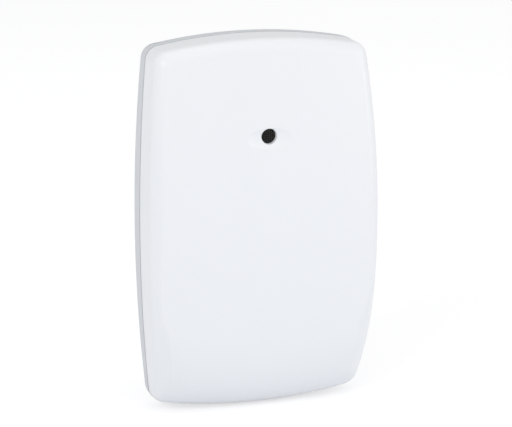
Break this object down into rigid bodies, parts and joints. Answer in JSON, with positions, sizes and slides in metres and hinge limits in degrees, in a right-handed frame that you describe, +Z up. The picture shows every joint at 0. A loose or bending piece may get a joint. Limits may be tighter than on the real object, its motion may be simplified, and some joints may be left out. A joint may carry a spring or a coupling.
{
  "type": "glass break sensor",
  "caption": "Slim white wall-mounted acoustic glass break sensor: barrel-shaped case with a crowned front, a small round sound port in an eye-shaped scoop, hinged cover over the circuit board.",
  "frame": {"origin": "centre of the case's outline on the wall plane, at the back face of the base", "axes": "+X to the right seen from the room, +Y into the wall, +Z up as mounted; the front faces -Y"},
  "size_m": [0.062, 0.021, 0.099],
  "materials": {
    "case_front": "satin white moulding, very fine texture",
    "case_rear": "satin white moulding",
    "mesh": "dark woven mesh",
    "board": "green solder mask",
    "screw": "zinc plated",
    "can": "drawn can",
    "solder": "tinned",
    "rubber": "matt moulded",
    "red_lens": "tinted resin",
    "green_lens": "tinted resin",
    "clear": "clear moulded plastic",
    "terminal": "green moulded housing",
    "brass": "plated clamp",
    "black": "moulded black",
    "switch_red": "moulded red",
    "white_small": "moulded white",
    "relay": "moulded white",
    "disc": "blue coated disc",
    "chip_tan": "tan ceramic"
  },
  "bodies": {
    "base": {"rear_base": "case_rear", "circuit_board": "board", "board_screws": "screw", "microphone_capsule": "can", "microphone_leads": "solder", "microphone_boot": "rubber", "red_lamp": "red_lens", "green_lamp": "green_lens", "light_guides": "clear", "terminal_block": "terminal", "terminal_clamps": "brass", "terminal_screws": "screw", "terminal_pins": "solder", "tamper_switch": "black", "switch_bank": "switch_red", "microcontroller": "black", "amplifier_chip": "black", "chip_legs": "solder", "solder_feet": "solder", "alarm_relay": "relay", "capacitor_cans": "can", "capacitor_bases": "black", "crystal": "can", "regulator": "black", "regulator_tab": "solder", "surge_suppressor": "disc", "suppressor_leads": "solder", "diodes": "black", "diode_ends": "solder", "chip_capacitors": "chip_tan", "chip_resistors": "black", "chip_ends": "solder"},
    "cover": {"front_cover": "case_front", "port_mesh": "mesh"},
    "plunger": {"tamper_plunger": "white_small"},
    "slider_1": {"slider_1": "white_small"},
    "slider_2": {"slider_2": "white_small"},
    "slider_3": {"slider_3": "white_small"},
    "slider_4": {"slider_4": "white_small"}
  },
  "joints": [
    {"name": "cover_swing", "type": "hinge", "parent": "base", "child": "cover", "pos_m": [0, -0.0042, 0.0495], "axis": [-1, 0, 0], "range_deg": [0, 70]},
    {"name": "tamper_press", "type": "slide", "parent": "base", "child": "plunger", "axis": [0, -1, 0], "range_m": [0, 0.0012]},
    {"name": "slider_1_set", "type": "slide", "parent": "base", "child": "slider_1", "axis": [0, 0, 1], "range_m": [0, 0.0015]},
    {"name": "slider_2_set", "type": "slide", "parent": "base", "child": "slider_2", "axis": [0, 0, 1], "range_m": [-0.0015, 0]},
    {"name": "slider_3_set", "type": "slide", "parent": "base", "child": "slider_3", "axis": [0, 0, 1], "range_m": [0, 0.0015]},
    {"name": "slider_4_set", "type": "slide", "parent": "base", "child": "slider_4", "axis": [0, 0, 1], "range_m": [0, 0.0015]}
  ],
  "couplings": [
    {"joint": "tamper_press", "follows": "cover_swing", "m_per_rad": 0.00098221}
  ]
}
